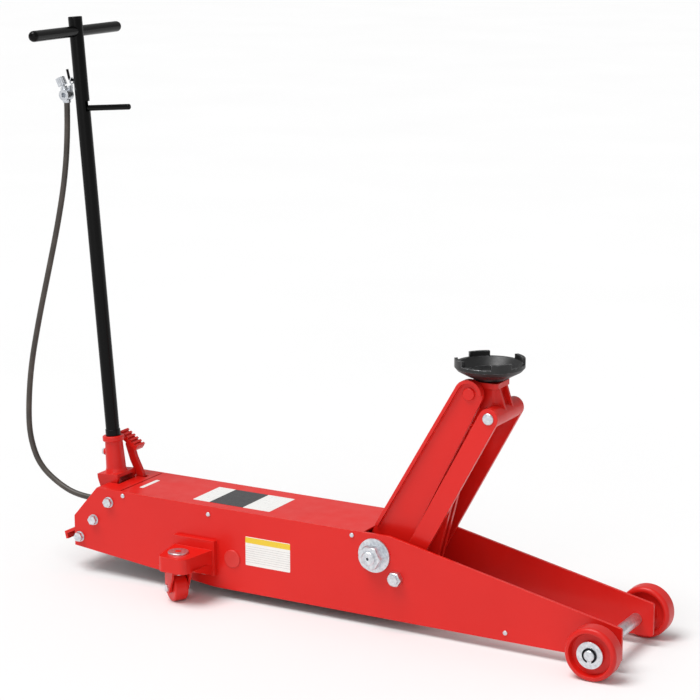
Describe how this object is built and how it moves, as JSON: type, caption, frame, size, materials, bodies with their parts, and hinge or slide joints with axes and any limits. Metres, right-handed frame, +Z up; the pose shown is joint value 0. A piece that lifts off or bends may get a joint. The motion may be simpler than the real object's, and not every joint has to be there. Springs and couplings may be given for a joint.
{
  "type": "floor jack",
  "caption": "Long-chassis floor jack with lifting arm, level swivelling saddle, rolling front wheels, rear casters, tilting T-handle, foot pedal and air hose with hand valve.",
  "frame": {"origin": "floor level, at the middle of the length and width of the jack without its hose and hand valve", "axes": "+X forwards to the big front wheels, +Y to the left, +Z up"},
  "size_m": [1.4914, 0.38, 1.2317],
  "materials": {
    "bare_steel": "ground",
    "black_enamel": "gloss black powder coat",
    "black_iron": "blackened casting",
    "hose_rubber": "satin",
    "red_caster": "gloss enamel on a cast roller",
    "red_enamel": "gloss enamel",
    "red_plastic": "moulded",
    "zinc_plate": "bright zinc plating"
  },
  "bodies": {
    "right_front_wheel_body": {"right_front_wheel": "red_caster"},
    "left_front_wheel_body": {"left_front_wheel": "red_caster"},
    "right_fork": {"right_caster_fork": "red_enamel", "right_caster_axle": "zinc_plate"},
    "left_fork": {"left_caster_fork": "red_enamel", "left_caster_axle": "zinc_plate"},
    "right_roller": {"right_caster_wheel": "red_caster"},
    "left_roller": {"left_caster_wheel": "red_caster"},
    "arm": {"right_arm_plate": "red_enamel", "left_arm_plate": "red_enamel", "arm_pivot_tube": "red_enamel", "arm_back_plate": "red_enamel", "lever_plates": "red_enamel", "lever_roller": "bare_steel", "top_pin": "red_enamel"},
    "links": {"radius_links": "red_enamel"},
    "bracket": {"saddle_bracket": "red_enamel", "link_pin": "zinc_plate"},
    "saddle_cup": {"saddle": "black_iron"},
    "ram": {"ram_rod": "bare_steel", "crosshead": "bare_steel"},
    "handle": {"handle_socket": "red_enamel", "clamp_screw": "zinc_plate", "handle_tube": "black_enamel", "crossbar": "black_enamel", "tube_plug": "black_enamel", "hose_hook": "black_enamel", "valve_body": "zinc_plate", "valve_ring": "zinc_plate"},
    "release": {"release_lever": "black_enamel"},
    "air_button": {"valve_knob": "zinc_plate"},
    "plunger": {"pump_plunger": "bare_steel"},
    "pedal": {"foot_pedal": "red_enamel"},
    "chassis": {"air_motor": "bare_steel", "axle_hardware": "zinc_plate", "bracket_bolts": "zinc_plate", "cover_screws": "zinc_plate", "cylinder_clamp": "bare_steel", "front_axle": "zinc_plate", "hose": "hose_rubber", "hose_fitting": "zinc_plate", "hydraulic_cylinder": "bare_steel", "kingpins": "zinc_plate", "left_caster_bracket": "red_enamel", "left_side_plate": "red_enamel", "link_studs": "zinc_plate", "main_pivot_nuts": "zinc_plate", "main_pivot_shaft": "zinc_plate", "oil_reservoir": "bare_steel", "plug_caps": "red_plastic", "pump_block": "bare_steel", "rear_bolts": "zinc_plate", "rear_cover": "red_enamel", "rear_cross_plate": "red_enamel", "rear_pins": "bare_steel", "return_springs": "bare_steel", "right_caster_bracket": "red_enamel", "right_side_plate": "red_enamel", "top_cover": "red_enamel"}
  },
  "joints": [
    {"name": "lift_arm", "type": "hinge", "parent": "chassis", "child": "arm", "pos_m": [0.1236, 0, 0.1565], "axis": [0, 1, 0], "range_deg": [0, 70]},
    {"name": "radius_links", "type": "hinge", "parent": "chassis", "child": "links", "pos_m": [0.1744, 0, 0.1141], "axis": [0, 1, 0], "range_deg": [0, 70]},
    {"name": "bracket_level", "type": "hinge", "parent": "arm", "child": "bracket", "pos_m": [0.31655, 0, 0.51485], "axis": [0, 1, 0], "range_deg": [-70, 0]},
    {"name": "saddle_swivel", "type": "hinge", "parent": "bracket", "child": "saddle_cup", "pos_m": [0.34, 0, 0.54], "axis": [0, 0, 1], "continuous": true},
    {"name": "ram_slide", "type": "slide", "parent": "chassis", "child": "ram", "axis": [-1, 0, 0], "range_m": [0, 0.13298], "deforming": ["return_springs"]},
    {"name": "right_front_roll", "type": "hinge", "parent": "chassis", "child": "right_front_wheel_body", "pos_m": [0.6386, -0.141, 0.0546], "axis": [0, 1, 0], "continuous": true},
    {"name": "left_front_roll", "type": "hinge", "parent": "chassis", "child": "left_front_wheel_body", "pos_m": [0.6386, 0.141, 0.0546], "axis": [0, 1, 0], "continuous": true},
    {"name": "handle_tilt", "type": "hinge", "parent": "chassis", "child": "handle", "pos_m": [-0.583, 0, 0.178], "axis": [0, -1, 0], "range_deg": [0, 50], "deforming": ["hose"]},
    {"name": "release_turn", "type": "hinge", "parent": "handle", "child": "release", "pos_m": [-0.583, 0, 0.178], "axis": [-0.0797, 0, 0.9968], "range_deg": [0, 45]},
    {"name": "pump_stroke", "type": "slide", "parent": "chassis", "child": "plunger", "axis": [0, 0, -1], "range_m": [0, 0.0092]},
    {"name": "pedal_press", "type": "hinge", "parent": "chassis", "child": "pedal", "pos_m": [-0.542, 0.042, 0.146], "axis": [0, -1, 0], "range_deg": [0, 15], "stiffness_Nm_per_rad": 6, "springref_deg": -14.32},
    {"name": "right_caster_swivel", "type": "hinge", "parent": "chassis", "child": "right_fork", "pos_m": [-0.322, -0.1505, 0.07], "axis": [0, 0, 1], "continuous": true},
    {"name": "right_caster_roll", "type": "hinge", "parent": "right_fork", "child": "right_roller", "pos_m": [-0.33029, -0.14491, 0.03], "axis": [0.5592, 0.829, 0], "continuous": true},
    {"name": "left_caster_swivel", "type": "hinge", "parent": "chassis", "child": "left_fork", "pos_m": [-0.322, 0.1505, 0.07], "axis": [0, 0, 1], "continuous": true},
    {"name": "left_caster_roll", "type": "hinge", "parent": "left_fork", "child": "left_roller", "pos_m": [-0.33029, 0.14491, 0.03], "axis": [-0.5592, 0.829, 0], "continuous": true},
    {"name": "valve_press", "type": "slide", "parent": "handle", "child": "air_button", "axis": [0.4384, 0, -0.8988], "range_m": [0, 0.003], "stiffness_N_per_m": 800, "springref_m": -0.002}
  ],
  "couplings": [
    {"joint": "radius_links", "follows": "lift_arm", "ratio": 1},
    {"joint": "bracket_level", "follows": "lift_arm", "ratio": -1},
    {"joint": "ram_slide", "follows": "lift_arm", "m_per_rad": 0.10843},
    {"joint": "pump_stroke", "follows": "handle_tilt", "m_per_rad": 0.010313}
  ]
}
